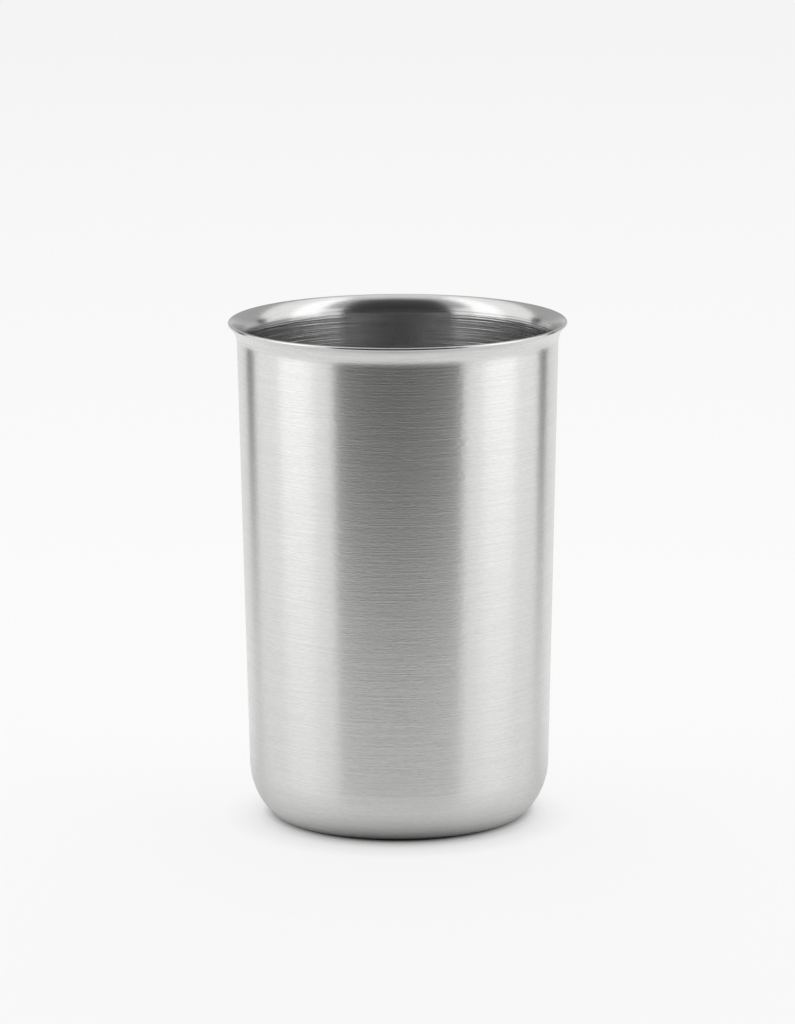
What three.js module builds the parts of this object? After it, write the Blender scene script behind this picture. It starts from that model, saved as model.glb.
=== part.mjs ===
// A plain stainless steel drinking tumbler. One round blank of sheet steel is deep drawn to a tapered cup,
// trimmed, flared at the lip and pressed up under the base, so the whole tumbler is one piece of sheet.
// Millimetres, +Z up. The origin is on the table, under the tumbler's axis.
import * as THREE from "three";

// Driving dimensions. The radius of a bend is that of its tight side.
const HEIGHT = 112.5; // table to the top of the lip
const RIM_DIAMETER = 76; // over the lip
const SHEET = 0.8; // thickness of the steel
const WALL_TAPER = 1.22; // degrees that the wall leans from upright
const FLARE_RADIUS = 5.5; // the bend that turns the top of the wall outwards
const LIP_LEAN = 49; // degrees that the sheet leans from upright where the flare ends in the lip
const SHOULDER_RADIUS = 15; // the large bend that turns the wall in towards the base
const SHOULDER_TURN = 43.5; // degrees that the shoulder has turned to face down where the foot takes over
const FOOT_RADIUS = 2.1; // the tighter bend from the shoulder onto the standing ring
const RING_WIDTH = 1.5; // the flat ring that the tumbler stands on
const RECESS_DEPTH = 1; // how far the middle of the base is pressed up
const RECESS_RADIUS = 1.2; // the two bends between the standing ring and the recess

// Facets round the axis, and along each bend.
const TURN_STEPS = 72;
const LIP_STEPS = 6;
const FLARE_STEPS = 6;
const SHOULDER_STEPS = 7;
const FOOT_STEPS = 4;
const RECESS_STEPS = 3;

const BRUSHED_STEEL = { color: 0xbdbcb8, roughness: 0.38, metalness: 1 };

// Points of the section are (radius, height), and angles in it run from outwards to upwards.
const UP = Math.PI / 2;
const DOWN = -UP;
const wallLean = THREE.MathUtils.degToRad(WALL_TAPER);
const lipLean = THREE.MathUtils.degToRad(LIP_LEAN);
const shoulderTurn = THREE.MathUtils.degToRad(SHOULDER_TURN);

// A step of a given length in the direction of an angle.
function step(length, angle) {
  return new THREE.Vector2(length * Math.cos(angle), length * Math.sin(angle));
}

// The lip is a half round as thick as the sheet.
// The flare below it bends about a centre outside the tumbler.
const lipCentre = new THREE.Vector2(RIM_DIAMETER / 2 - SHEET / 2, HEIGHT - SHEET / 2);
const flareCentre = lipCentre.clone().add(step(FLARE_RADIUS + SHEET / 2, -lipLean));

// The wall runs straight down from the start of the flare. This is its outside radius at a height.
const flareStart = flareCentre.clone().add(step(FLARE_RADIUS, Math.PI - wallLean));
const wallRadius = (height) => flareStart.x + (height - flareStart.y) * Math.tan(wallLean);

// The shoulder bends in from the wall, and the foot goes on from it, without a break, down to the table.
const shoulderOuter = SHOULDER_RADIUS + SHEET;
const footOuter = FOOT_RADIUS + SHEET;
const shoulderHeight = footOuter + (shoulderOuter - footOuter) * Math.sin(shoulderTurn);
const shoulderCentre = new THREE.Vector2(
  wallRadius(shoulderHeight) - shoulderOuter / Math.cos(wallLean),
  shoulderHeight,
);
const footCentre = shoulderCentre.clone().add(step(shoulderOuter - footOuter, -shoulderTurn));

// The recess is an S of two bends, from the inner edge of the standing ring up to the middle of the base.
const recessOuter = RECESS_RADIUS + SHEET;
const recessSweep = Math.acos(1 - RECESS_DEPTH / (RECESS_RADIUS + recessOuter));
const recessEdge = new THREE.Vector2(footCentre.x - RING_WIDTH, recessOuter);
const recessMiddle = recessEdge.clone().add(step(RECESS_RADIUS + recessOuter, DOWN - recessSweep));

// Points along a bend, both ends included.
function bend(centre, radius, from, to, steps) {
  const clockwise = to < from;
  return new THREE.EllipseCurve(centre.x, centre.y, radius, radius, from, to, clockwise).getPoints(steps);
}

// One face of the sheet from the axis to the lip, at a depth in from the outside face.
// A bend that carries straight on from the one before it leaves out their shared point.
function sheetFace(depth) {
  return [
    new THREE.Vector2(0, RECESS_DEPTH + depth),
    ...bend(recessMiddle, RECESS_RADIUS + depth, UP, UP - recessSweep, RECESS_STEPS),
    ...bend(recessEdge, recessOuter - depth, DOWN - recessSweep, DOWN, RECESS_STEPS).slice(1),
    ...bend(footCentre, footOuter - depth, DOWN, -shoulderTurn, FOOT_STEPS),
    ...bend(shoulderCentre, shoulderOuter - depth, -shoulderTurn, -wallLean, SHOULDER_STEPS).slice(1),
    ...bend(flareCentre, FLARE_RADIUS + depth, Math.PI - wallLean, Math.PI - lipLean, FLARE_STEPS),
  ];
}

// The half round over the lip, from the outside face to the inside face, without its two ends.
function lipRound() {
  return bend(lipCentre, SHEET / 2, -lipLean, Math.PI - lipLean, LIP_STEPS).slice(1, -1);
}

// The whole sheet: its closed section, turned about the axis.
function tumblerBody() {
  const section = [...sheetFace(0), ...lipRound(), ...sheetFace(SHEET).reverse()];
  const body = new THREE.Mesh(
    new THREE.LatheGeometry(section, TURN_STEPS),
    new THREE.MeshStandardMaterial(BRUSHED_STEEL),
  );
  body.name = "tumbler_body";
  body.rotation.x = Math.PI / 2; // the section is turned about +Y, and the tumbler stands along +Z
  return body;
}

const tumbler = new THREE.Group();
tumbler.name = "steel_tumbler";
tumbler.add(tumblerBody());

export default tumbler;
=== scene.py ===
"""The looks of a brushed stainless steel tumbler, and the small photo studio that it stands in."""
from bisect import bisect
from collections import namedtuple
from itertools import accumulate
from math import acos, atan2, copysign, cos, hypot, pi, radians, remainder, sin

import bmesh
import bpy
from mathutils import Matrix, Vector


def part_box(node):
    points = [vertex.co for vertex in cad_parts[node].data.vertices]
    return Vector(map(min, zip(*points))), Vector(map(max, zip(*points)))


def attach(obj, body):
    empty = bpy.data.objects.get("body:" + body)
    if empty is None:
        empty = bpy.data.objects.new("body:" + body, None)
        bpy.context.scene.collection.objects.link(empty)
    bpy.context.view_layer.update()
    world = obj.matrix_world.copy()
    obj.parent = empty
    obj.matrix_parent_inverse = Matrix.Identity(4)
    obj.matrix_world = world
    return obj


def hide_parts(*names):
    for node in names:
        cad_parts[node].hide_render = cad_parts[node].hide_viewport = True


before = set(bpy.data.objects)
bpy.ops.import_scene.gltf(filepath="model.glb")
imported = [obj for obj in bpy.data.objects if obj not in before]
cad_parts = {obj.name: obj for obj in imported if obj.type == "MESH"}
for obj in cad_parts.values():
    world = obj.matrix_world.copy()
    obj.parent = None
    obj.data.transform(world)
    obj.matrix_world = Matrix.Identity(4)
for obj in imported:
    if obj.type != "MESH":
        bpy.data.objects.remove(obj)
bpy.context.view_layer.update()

MM = 0.001

# Sizes of the tumbler, in metres and radians. The radius of a bend is that of its tight side.
HIGH_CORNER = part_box("tumbler_body")[1]
HEIGHT = HIGH_CORNER.z
RIM_RADIUS = HIGH_CORNER.x
SHEET = 0.8 * MM
WALL_TAPER = radians(1.22)
FLARE_RADIUS = 5.5 * MM
LIP_LEAN = radians(49)
SHOULDER_RADIUS = 15.0 * MM
SHOULDER_TURN = radians(43.5)
FOOT_RADIUS = 2.1 * MM
RING_WIDTH = 1.5 * MM
RECESS_DEPTH = 1.0 * MM
RECESS_RADIUS = 1.2 * MM

# The shares of the flare's bend, next to the lip, that are brushed finely outside and polished inside.
FINE_SHARE = 0.79
POLISHED_SHARE = 0.68

# How finely the sheet is drawn, along its section and round the axis.
TURN_STEPS = 256
MIDDLE_STEPS = 8
WALL_STEPS = 24
BEND_STEPS = 12
WELD = 1e-6

FINISHES = ("wall", "flare", "lip", "inside", "base")


def linear(colour):
    """The linear RGBA of an sRGB colour written as #RRGGBB."""
    channels = [int(colour[i:i + 2], 16) / 255 for i in (1, 3, 5)]
    return (*[c / 12.92 if c <= 0.04045 else ((c + 0.055) / 1.055) ** 2.4 for c in channels], 1.0)


def add(tree, kind, settings=None, links=None):
    """Adds a node. Settings are its properties and the values of its sockets, and links feed its sockets."""
    made = tree.nodes.new(kind)
    for name, value in (settings or {}).items():
        if isinstance(name, int) or name in made.inputs:
            made.inputs[name].default_value = value
        else:
            setattr(made, name, value)
    for name, source in (links or {}).items():
        tree.links.new(source, made.inputs[name])
    return made


def bare_tree(owner):
    """The node tree of a new material or world, with nothing in it yet."""
    owner.use_nodes = True
    owner.node_tree.nodes.clear()
    return owner.node_tree


# The sheet's section is a line of straights and bends, drawn from the middle of the base out and up the
# outside, over the lip and back down the inside. A turn to the left is positive.
Run = namedtuple("Run", "finish length radius turn steps")


def straight(finish, length, steps):
    return Run(finish, length, 0.0, 0.0, steps)


def bend(finish, radius, turn):
    return Run(finish, radius * abs(turn), radius, turn, BEND_STEPS)


def travel(runs):
    """How far out and up a line of runs goes, when it sets off level."""
    out = up = heading = 0.0
    for run in runs:
        side = copysign(run.radius, run.turn)
        out += side * (sin(heading + run.turn) - sin(heading))
        up += side * (cos(heading) - cos(heading + run.turn))
        if not run.turn:
            out += run.length * cos(heading)
            up += run.length * sin(heading)
        heading += run.turn
    return out, up


def outside_runs():
    """The outside of the sheet. Its base and wall take up what the rim's radius and height leave."""
    foot_heading = pi / 2 - SHOULDER_TURN
    wall_heading = pi / 2 - WALL_TAPER
    lip_heading = pi / 2 - LIP_LEAN
    flare_turn = lip_heading - wall_heading
    recess_sweep = acos(1 - RECESS_DEPTH / (2 * RECESS_RADIUS + SHEET))
    base = [
        bend("base", RECESS_RADIUS, -recess_sweep),
        bend("base", RECESS_RADIUS + SHEET, recess_sweep),
        straight("base", RING_WIDTH, 1),
    ]
    corner = [
        bend("wall", FOOT_RADIUS + SHEET, foot_heading),
        bend("wall", SHOULDER_RADIUS + SHEET, wall_heading - foot_heading),
    ]
    flare = [
        bend("wall", FLARE_RADIUS, (1 - FINE_SHARE) * flare_turn),
        bend("flare", FLARE_RADIUS, (FINE_SHARE - POLISHED_SHARE) * flare_turn),
        bend("flare", FLARE_RADIUS, POLISHED_SHARE * flare_turn),
    ]
    out, up = travel(base + corner + flare)
    lip_out = RIM_RADIUS - SHEET / 2 + SHEET / 2 * sin(lip_heading)
    lip_up = HEIGHT - SHEET / 2 - SHEET / 2 * cos(lip_heading)
    wall_length = (lip_up - RECESS_DEPTH - up) / sin(wall_heading)
    middle_length = lip_out - out - wall_length * cos(wall_heading)
    wall = [straight("wall", wall_length, WALL_STEPS)]
    return [straight("base", middle_length, MIDDLE_STEPS), *base, *corner, *wall, *flare]


def inside_run(run, finish):
    """The inside of the sheet at one of the outside's runs, on the way down."""
    if not run.turn:
        return straight(finish, run.length, run.steps)
    return bend(finish, run.radius - copysign(SHEET, run.turn), -run.turn)


def draw_run(mesh, tip, heading, run):
    """Draws one run on from the tip of the line, and returns the new tip."""
    ahead = Vector((cos(heading), 0, sin(heading)))
    if run.turn:
        left = Vector((-sin(heading), 0, cos(heading)))
        centre = tip.co + left * copysign(run.radius, run.turn)
        turned = bmesh.ops.spin(
            mesh, geom=[tip], cent=centre, axis=(0, -1, 0), angle=run.turn, steps=run.steps)
        return turned["geom_last"][0]
    for _ in range(run.steps):
        tip = bmesh.ops.extrude_vert_indiv(mesh, verts=[tip])["verts"][0]
        bmesh.ops.translate(mesh, verts=[tip], vec=ahead * run.length / run.steps)
    return tip


def draw_section(mesh, runs):
    """Draws the sheet's section, and notes on each of its points how far along the sheet it lies."""
    along = mesh.verts.layers.float.new("along")
    tip = mesh.verts.new((0, 0, RECESS_DEPTH))
    heading = distance = 0.0
    for run in runs:
        drawn = len(mesh.verts)
        tip = draw_run(mesh, tip, heading, run)
        for step, point in enumerate(list(mesh.verts)[drawn:], 1):
            point[along] = distance + run.length * step / run.steps
        heading += run.turn
        distance += run.length


def turn_section(mesh):
    """Turns the section about the axis and closes its poles."""
    section = list(mesh.verts) + list(mesh.edges)
    bmesh.ops.spin(
        mesh, geom=section, cent=(0, 0, 0), axis=(0, 0, 1), angle=2 * pi, steps=TURN_STEPS, use_merge=True)
    bmesh.ops.remove_doubles(mesh, verts=mesh.verts, dist=WELD)
    bmesh.ops.recalc_face_normals(mesh, faces=mesh.faces)


def finish_faces(mesh, runs):
    """Gives each face the finish of the run that it lies on."""
    along = mesh.verts.layers.float["along"]
    run_ends = list(accumulate(run.length for run in runs))
    for face in mesh.faces:
        middle = sum(point[along] for point in face.verts) / len(face.verts)
        face.material_index = FINISHES.index(runs[bisect(run_ends, middle)].finish)
        face.smooth = True


def map_brushing(mesh):
    """Maps the sheet in metres: U runs round the axis, as the brushing does, and V along the section."""
    along = mesh.verts.layers.float["along"]
    brushing = mesh.loops.layers.uv.new("brushing")
    for face in mesh.faces:
        middle = face.calc_center_median()
        facing = atan2(middle.y, middle.x)
        for corner in face.loops:
            place = corner.vert.co
            at_pole = hypot(place.x, place.y) < WELD
            swing = 0.0 if at_pole else remainder(atan2(place.y, place.x) - facing, 2 * pi)
            corner[brushing].uv = ((facing + swing) * RIM_RADIUS, corner.vert[along])


def drawn_sheet():
    """The tumbler's one piece: a drawn sheet of steel, with a finish on each stretch of it."""
    outside = outside_runs()
    lip = [bend("lip", SHEET / 2, pi), inside_run(outside[-1], "lip")]
    runs = [*outside, *lip, *[inside_run(run, "inside") for run in reversed(outside[:-1])]]
    mesh = bmesh.new()
    draw_section(mesh, runs)
    turn_section(mesh)
    finish_faces(mesh, runs)
    map_brushing(mesh)
    data = bpy.data.meshes.new("drawn_sheet")
    mesh.to_mesh(data)
    mesh.free()
    for finish in FINISHES:
        data.materials.append(STEELS[finish]())
    piece = bpy.data.objects.new("drawn_sheet", data)
    bpy.context.scene.collection.objects.link(piece)
    return piece


# The steels. Real brush lines are a few hundredths of a millimetre wide, too fine to show in a picture of
# the whole tumbler, so all of them are drawn about 0.3 mm wide.
GRAIN_SHARE = 0.5
FAINT_LINE = 0.3
BOLD_LINE = 0.7
ACROSS_THE_LINES = 0.25


def streaks(tree, length, width):
    """Streaks that run round the tumbler, of a given length and width in metres, from 0 to 1."""
    place = add(tree, "ShaderNodeSeparateXYZ", links={
        "Vector": add(tree, "ShaderNodeTexCoord").outputs["Object"]})
    sheet = add(tree, "ShaderNodeSeparateXYZ", links={
        "Vector": add(tree, "ShaderNodeUVMap", {"uv_map": "brushing"}).outputs["UV"]})
    space = add(tree, "ShaderNodeCombineXYZ", links={
        "X": place.outputs["X"], "Y": place.outputs["Y"], "Z": sheet.outputs["Y"]})
    stretched = add(tree, "ShaderNodeVectorMath", {
        "operation": "MULTIPLY", 1: (1 / length, 1 / length, 1 / width)}, {0: space.outputs["Vector"]})
    noise = add(tree, "ShaderNodeTexNoise", {"Scale": 1.0, "Detail": 1.0, "Roughness": 0.5}, {
        "Vector": stretched.outputs["Vector"]})
    return noise.outputs["Fac"]


def brush_lines(tree, length, grain, width):
    """Long lines with a short grain among them."""
    together = add(tree, "ShaderNodeMix", {"Factor": GRAIN_SHARE}, {
        "A": streaks(tree, length, width), "B": streaks(tree, grain, width)})
    return together.outputs["Result"]


def steel(name, colours, roughness, anisotropy, lines, relief):
    """Stainless steel with brush lines in its colour, roughness and relief. Bold ones are paler, smoother.

    Lines gives their length, the length of the grain among them and their width.
    """
    material = bpy.data.materials.new(name)
    tree = bare_tree(material)
    brushing = brush_lines(tree, *lines)
    colour = add(tree, "ShaderNodeValToRGB", links={"Fac": brushing})
    for stop, position, shade in zip(colour.color_ramp.elements, (FAINT_LINE, BOLD_LINE), colours):
        stop.position = position
        stop.color = linear(shade)
    rough = add(tree, "ShaderNodeMapRange", {
        "From Min": FAINT_LINE, "From Max": BOLD_LINE, "To Min": roughness[1], "To Max": roughness[0]}, {
        "Value": brushing})
    bump = add(tree, "ShaderNodeBump", {"Strength": 1.0, "Distance": relief}, {"Height": brushing})
    tangent = add(tree, "ShaderNodeTangent", {"direction_type": "UV_MAP", "uv_map": "brushing"})
    shader = add(tree, "ShaderNodeBsdfPrincipled", {
        "Metallic": 1.0, "Anisotropic": anisotropy, "Anisotropic Rotation": ACROSS_THE_LINES}, {
        "Base Color": colour.outputs["Color"], "Roughness": rough.outputs["Result"],
        "Normal": bump.outputs["Normal"], "Tangent": tangent.outputs["Tangent"]})
    add(tree, "ShaderNodeOutputMaterial", links={"Surface": shader.outputs["BSDF"]})
    return material


def brushed_wall():
    # Stainless steel brushed round the axis with a belt: the eye sees soft upright bands of light and dark,
    # because each reflection smears across the lines, and fine level lines, most of all where it is dark.
    return steel(
        "brushed_stainless_wall", colours=("#CFCFCE", "#DCDCDA"), roughness=(0.30, 0.33), anisotropy=0.86,
        lines=(14 * MM, 1.4 * MM, 0.28 * MM), relief=0.047 * MM)


def brushed_flare():
    # Stainless steel brushed more finely after the lip was rolled out: the eye sees a pale, even band under
    # the lip.
    return steel(
        "fine_brushed_stainless_flare", colours=("#D2D2D1", "#DFDFDD"), roughness=(0.26, 0.30),
        anisotropy=0.72, lines=(14 * MM, 5 * MM, 0.3 * MM), relief=0.012 * MM)


def polished_lip():
    # Stainless steel polished on a wheel, at the edge and inside the flare: the eye sees bright patches and
    # dark ones with edges that are only a little soft, and a thin bright line along the edge.
    return steel(
        "polished_stainless_lip", colours=("#CBCBCA", "#D1D1D0"), roughness=(0.20, 0.24), anisotropy=0.5,
        lines=(12 * MM, 2 * MM, 0.3 * MM), relief=0.0005 * MM)


def satin_inside():
    # Stainless steel with the satin that drawing and scouring leave: the eye sees a dim inside, with long
    # streaks where the light from the sides grazes it.
    return steel(
        "satin_stainless_inside", colours=("#B8B8B8", "#D6D6D6"), roughness=(0.20, 0.23), anisotropy=0.87,
        lines=(40 * MM, 14 * MM, 0.3 * MM), relief=0.09 * MM)


def turned_base():
    # Stainless steel scoured in circles on a turning table: the eye sees faint rings round its middle.
    return steel(
        "turned_stainless_base", colours=("#C6C6C5", "#D6D6D5"), roughness=(0.32, 0.38), anisotropy=0.72,
        lines=(20 * MM, 2 * MM, 0.3 * MM), relief=0.005 * MM)


STEELS = {
    "wall": brushed_wall,
    "flare": brushed_flare,
    "lip": polished_lip,
    "inside": satin_inside,
    "base": turned_base,
}

# The studio, in metres. The camera looks along +Y. The floor stops under the standing ring, so that the
# underside mirrors the room and not a black floor.
FLOOR_RADIUS = 3.0
FLOOR_HOLE = 26.7 * MM
FLOOR_CLEAR = 0.02 * MM
FLOOR_SEGMENTS = 96
FLOOR_WHITE = "#F7F7F7"
BACKDROP_WHITE = "#FAFAFA"

# Away from the foot the floor glows as white as the backdrop, by stops of (distance, level), with a faint
# painted shade on the way to its edge. In the steel it keeps its shadow inside a circle behind the tumbler,
# and near the foot it carries a painted shade that shows only in the steel.
SHADOW_MIDDLE = Vector((0, -4 * MM, 0))
GLOW_REACH = 300 * MM
GLOW_STOPS = ((25 * MM, 0.0), (32 * MM, 0.6), (40 * MM, 0.88), (GLOW_REACH, 1.0))
# Painted shade: the glow is a little weaker about 1.9 m away, on the way to the floor's edge.
PAINTED_FAR_SHADE_STOPS = ((0.3, 1.0), (1.9, 0.94), (FLOOR_RADIUS, 1.0))
MIRROR_MIDDLE = Vector((0, 95 * MM, 0))
MIRROR_NEAR = 90 * MM
MIRROR_FAR = 120 * MM
# Painted shade: near the foot, the floor that the steel mirrors is made darker, by up to this share.
MIRRORED_SHADE_NEAR = 35 * MM
MIRRORED_SHADE_FAR = 90 * MM
DEEPEST_MIRRORED_SHADE = 0.08

# Right at the foot, where the floor is hardly lit, a painted shadow darkens its paper's colour down to
# black.
PAINTED_SHADOW_NEAR = 27.5 * MM
PAINTED_SHADOW_FAR = 31 * MM

# The light on the floor, and the room that the steel mirrors, by stops of (sine of the height, level).
OVERHEAD_LIGHT = 2.0
ROOM_STOPS = ((0.0, 0.95), (0.06, 0.75), (0.2, 0.5), (0.86, 0.5), (0.95, 1.0))

# White panels stand at both sides, each given by its front and back along Y, its top and its light.
PANEL_OFF = 0.45
PANELS = ((-0.466, -0.239, 0.45, 1.19), (-0.239, 0.0, 1.4, 1.71), (0.0, 0.32, 1.4, 1.19))

# A dark card in front gives the steel its dark middle, and one at the back of each panel its thin dark line.
FRONT_CARD_GREY = "#383838"
FRONT_CARD_PLACE = (0.004, -0.225)
FRONT_CARD_WIDTH = 0.442
FRONT_CARD_TOP = 0.8
GAP_CARD_GREY = "#101010"
GAP_CARD_OFF = 0.42
GAP_CARD_WIDTH = 0.092
GAP_CARD_TOP = 0.22
GAP_CARD_TURNS = {-1: radians(53), 1: radians(56.4)}


def ray_kinds(tree):
    """Two sockets: 1 for what the camera sees straight on, and 1 for what it sees mirrored, and else 0."""
    path = add(tree, "ShaderNodeLightPath")
    mirrored = add(tree, "ShaderNodeMath", {"operation": "MAXIMUM"}, {
        0: path.outputs["Is Glossy Ray"], 1: path.outputs["Is Transmission Ray"]})
    return path.outputs["Is Camera Ray"], mirrored.outputs["Value"]


def level_by(tree, value, reach, stops):
    """A grey level that follows a value from 0 to its reach, by stops of (value, level)."""
    share = add(tree, "ShaderNodeMapRange", {"From Max": reach}, {"Value": value})
    ramp = add(tree, "ShaderNodeValToRGB", links={"Fac": share.outputs["Result"]})
    elements = ramp.color_ramp.elements
    while len(elements) < len(stops):
        elements.new(1.0)
    for element, (place, level) in zip(elements, stops):
        element.position = place / reach
        element.color = (level, level, level, 1)
    return ramp.outputs["Color"]


def studio_world():
    """A white backdrop for the eye, the room for the steel, and for the floor a soft light from above."""
    world = bpy.data.worlds.new("white_studio")
    tree = bare_tree(world)
    direction = add(tree, "ShaderNodeSeparateXYZ", links={
        "Vector": add(tree, "ShaderNodeTexCoord").outputs["Generated"]})
    height = add(tree, "ShaderNodeMapRange", {"To Max": OVERHEAD_LIGHT}, {"Value": direction.outputs["Z"]})
    above = add(tree, "ShaderNodeBackground", {"Color": linear("#FFFFFF")}, {
        "Strength": height.outputs["Result"]})
    room = add(tree, "ShaderNodeBackground", {"Strength": 1.0}, {
        "Color": level_by(tree, direction.outputs["Z"], 1.0, ROOM_STOPS)})
    backdrop = add(tree, "ShaderNodeBackground", {"Color": linear(BACKDROP_WHITE), "Strength": 1.0})
    straight_on, mirrored = ray_kinds(tree)
    unseen = add(tree, "ShaderNodeMixShader", links={
        0: mirrored, 1: above.outputs["Background"], 2: room.outputs["Background"]})
    surface = add(tree, "ShaderNodeMixShader", links={
        0: straight_on, 1: unseen.outputs["Shader"], 2: backdrop.outputs["Background"]})
    add(tree, "ShaderNodeOutputWorld", links={"Surface": surface.outputs["Shader"]})
    bpy.context.scene.world = world


def white_paper():
    # White paper: the eye sees an even white ground, with a soft dark shadow round the foot. The light casts
    # it, and right at the foot painted shadow in the paper's colour takes it down to black. It is clear from
    # below, so that the base can be looked at.
    material = bpy.data.materials.new("white_paper")
    tree = bare_tree(material)
    place = add(tree, "ShaderNodeTexCoord").outputs["Object"]
    from_shadow = add(tree, "ShaderNodeVectorMath", {"operation": "DISTANCE", 1: SHADOW_MIDDLE}, {0: place})
    from_mirror = add(tree, "ShaderNodeVectorMath", {"operation": "DISTANCE", 1: MIRROR_MIDDLE}, {0: place})
    from_axis = add(tree, "ShaderNodeVectorMath", {"operation": "LENGTH"}, {0: place})
    straight_on, mirrored = ray_kinds(tree)

    # Where it glows, for the eye and, outside the circle, in the steel.
    glow = level_by(tree, from_shadow.outputs["Value"], GLOW_REACH, GLOW_STOPS)
    outside_circle = add(tree, "ShaderNodeMapRange", {
        "interpolation_type": "SMOOTHSTEP", "From Min": MIRROR_NEAR, "From Max": MIRROR_FAR}, {
        "Value": from_mirror.outputs["Value"]})
    seen = add(tree, "ShaderNodeMath", {"operation": "MULTIPLY_ADD"}, {
        0: outside_circle.outputs["Result"], 1: mirrored, 2: straight_on})
    glowing = add(tree, "ShaderNodeMath", {"operation": "MULTIPLY"}, {0: glow, 1: seen.outputs["Value"]})

    # A painted shade that only the steel shows near the foot, and the paper's colour with its painted shadow
    # at the foot.
    mirrored_shade_loss = add(tree, "ShaderNodeMapRange", {
        "From Min": MIRRORED_SHADE_NEAR, "From Max": MIRRORED_SHADE_FAR, "To Min": -DEEPEST_MIRRORED_SHADE, "To Max": 0.0}, {
        "Value": from_axis.outputs["Value"]})
    mirrored_painted_shade = add(tree, "ShaderNodeMath", {"operation": "MULTIPLY_ADD", 2: 1.0}, {
        0: mirrored_shade_loss.outputs["Result"], 1: mirrored})
    # Painted shadow: the paper's colour goes to black right at the foot.
    shade = add(tree, "ShaderNodeMapRange", {"From Min": PAINTED_SHADOW_NEAR, "From Max": PAINTED_SHADOW_FAR}, {
        "Value": from_axis.outputs["Value"]})
    painted_shade_level = add(tree, "ShaderNodeMath", {"operation": "MULTIPLY"}, {
        0: shade.outputs["Result"], 1: mirrored_painted_shade.outputs["Value"]})
    colour = add(tree, "ShaderNodeVectorMath", {"operation": "SCALE", 0: linear(FLOOR_WHITE)[:3]}, {
        "Scale": painted_shade_level.outputs["Value"]})
    lit = add(tree, "ShaderNodeBsdfDiffuse", links={"Color": colour.outputs["Vector"]})

    # Its glow, with the painted shade far off and, in the steel, near the foot, and both sides of it
    # together.
    painted_far_shade = level_by(tree, from_shadow.outputs["Value"], FLOOR_RADIUS, PAINTED_FAR_SHADE_STOPS)
    painted_glow_strength = add(tree, "ShaderNodeMath", {"operation": "MULTIPLY"}, {0: painted_far_shade, 1: mirrored_painted_shade.outputs["Value"]})
    white = add(tree, "ShaderNodeEmission", {"Color": linear(BACKDROP_WHITE)}, {
        "Strength": painted_glow_strength.outputs["Value"]})
    upper_side = add(tree, "ShaderNodeMixShader", links={
        0: glowing.outputs["Value"], 1: lit.outputs["BSDF"], 2: white.outputs["Emission"]})
    surface = add(tree, "ShaderNodeMixShader", links={
        0: add(tree, "ShaderNodeNewGeometry").outputs["Backfacing"], 1: upper_side.outputs["Shader"],
        2: add(tree, "ShaderNodeBsdfTransparent").outputs["BSDF"]})
    add(tree, "ShaderNodeOutputMaterial", links={"Surface": surface.outputs["Shader"]})
    return material


def even_glow(name, colour, strength):
    """A material that shows one even colour, whatever light falls on it."""
    material = bpy.data.materials.new(name)
    tree = bare_tree(material)
    glow = add(tree, "ShaderNodeEmission", {"Color": linear(colour), "Strength": strength})
    add(tree, "ShaderNodeOutputMaterial", links={"Surface": glow.outputs["Emission"]})
    return material


def stage_object(name, mesh, material):
    """Makes a bmesh a stage object with one material."""
    data = bpy.data.meshes.new(name)
    mesh.to_mesh(data)
    mesh.free()
    data.materials.append(material)
    made = bpy.data.objects.new(name, data)
    bpy.context.scene.collection.objects.link(made)
    return made


def studio_floor():
    """A round floor just under the foot, with its face up."""
    mesh = bmesh.new()
    for radius in (FLOOR_HOLE, FLOOR_RADIUS):
        bmesh.ops.create_circle(
            mesh, segments=FLOOR_SEGMENTS, radius=radius, matrix=Matrix.Translation((0, 0, -FLOOR_CLEAR)))
    bmesh.ops.bridge_loops(mesh, edges=mesh.edges)
    mesh.normal_update()
    bmesh.ops.reverse_faces(mesh, faces=[face for face in mesh.faces if face.normal.z < 0])
    stage_object("floor", mesh, white_paper())


def sheet_of_card(name, matrix, material):
    """A flat sheet, a metre square before it is placed, that the camera sees only in the steel."""
    mesh = bmesh.new()
    bmesh.ops.create_grid(mesh, x_segments=1, y_segments=1, size=0.5, matrix=matrix)
    sheet = stage_object(name, mesh, material)
    sheet.visible_camera = False
    return sheet


def upright(place, turn, width, top):
    """The matrix of a sheet that stands on the floor at a place, turned about the vertical."""
    stood = Matrix.Rotation(turn, 4, "Z") @ Matrix.Rotation(pi / 2, 4, "X")
    return Matrix.Translation((*place, top / 2)) @ stood @ Matrix.Diagonal((width, top, 1, 1))


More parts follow.
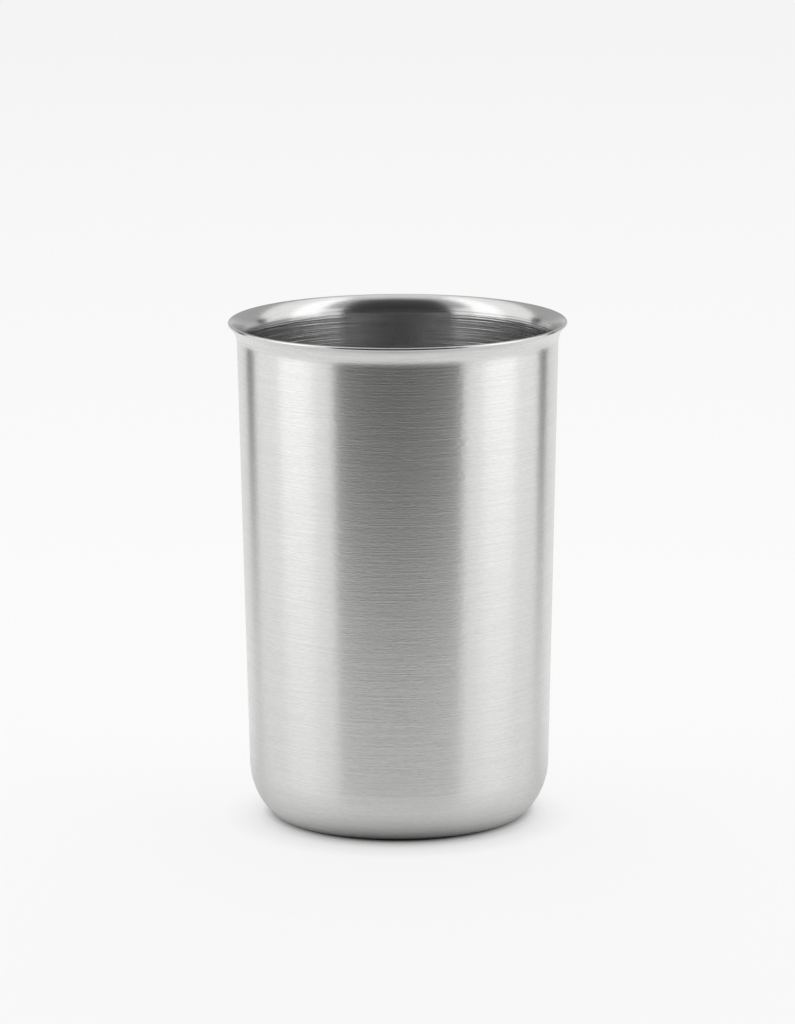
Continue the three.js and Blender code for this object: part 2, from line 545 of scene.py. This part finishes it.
def white_panels():
    # Lit white panels: the eye sees them as pale bands in the steel. They don't light the floor.
    for front, back, top, light in PANELS:
        white = even_glow("white_panel", "#FFFFFF", light)
        for side in (-1, 1):
            place = (side * PANEL_OFF, (front + back) / 2)
            panel = sheet_of_card("panel", upright(place, pi / 2, back - front, top), white)
            panel.visible_diffuse = False


def dark_cards():
    # Grey and black card: the eye sees them as the dark middle of the steel and the dark lines at its sides.
    front = upright(FRONT_CARD_PLACE, 0, FRONT_CARD_WIDTH, FRONT_CARD_TOP)
    sheet_of_card("front_card", front, even_glow("grey_card", FRONT_CARD_GREY, 1.0))
    black = even_glow("black_card", GAP_CARD_GREY, 1.0)
    for side, turn in GAP_CARD_TURNS.items():
        place = (side * GAP_CARD_OFF * sin(turn), GAP_CARD_OFF * cos(turn))
        sheet_of_card("gap_card", upright(place, -side * turn, GAP_CARD_WIDTH, GAP_CARD_TOP), black)


# The camera, from the tumbler's outline in the photograph, which is 1024 pixels high.
FRAME_HEIGHT = 1024
CAMERA_DISTANCE = 1.140
CAMERA_PITCH = radians(11.421)
CAMERA_ROLL = radians(-0.211)
CAMERA_AIM = Vector((-0.175 * MM, 0, 68.738 * MM))
FOCAL_PIXELS = 5060.0
SENSOR = 36.0
NEAREST = 0.01
FARTHEST = 20.0


def photo_camera():
    """A camera at the photograph's place, that looks slightly down and rolls with it."""
    camera = bpy.data.cameras.new("photo_camera")
    camera.sensor_width = SENSOR
    camera.lens = FOCAL_PIXELS / FRAME_HEIGHT * SENSOR
    camera.clip_start = NEAREST
    camera.clip_end = FARTHEST
    eye = bpy.data.objects.new("photo_camera", camera)
    back = Vector((0, -cos(CAMERA_PITCH), sin(CAMERA_PITCH)))
    eye.location = CAMERA_AIM + back * CAMERA_DISTANCE
    look = Matrix.Rotation(pi / 2 - CAMERA_PITCH, 3, "X") @ Matrix.Rotation(CAMERA_ROLL, 3, "Z")
    eye.rotation_euler = look.to_euler()
    bpy.context.scene.collection.objects.link(eye)
    bpy.context.scene.camera = eye


tumbler = drawn_sheet()
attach(tumbler, "root")
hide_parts("tumbler_body")
studio_world()
studio_floor()
white_panels()
dark_cards()
photo_camera()
bpy.context.scene.view_settings.view_transform = "Standard"
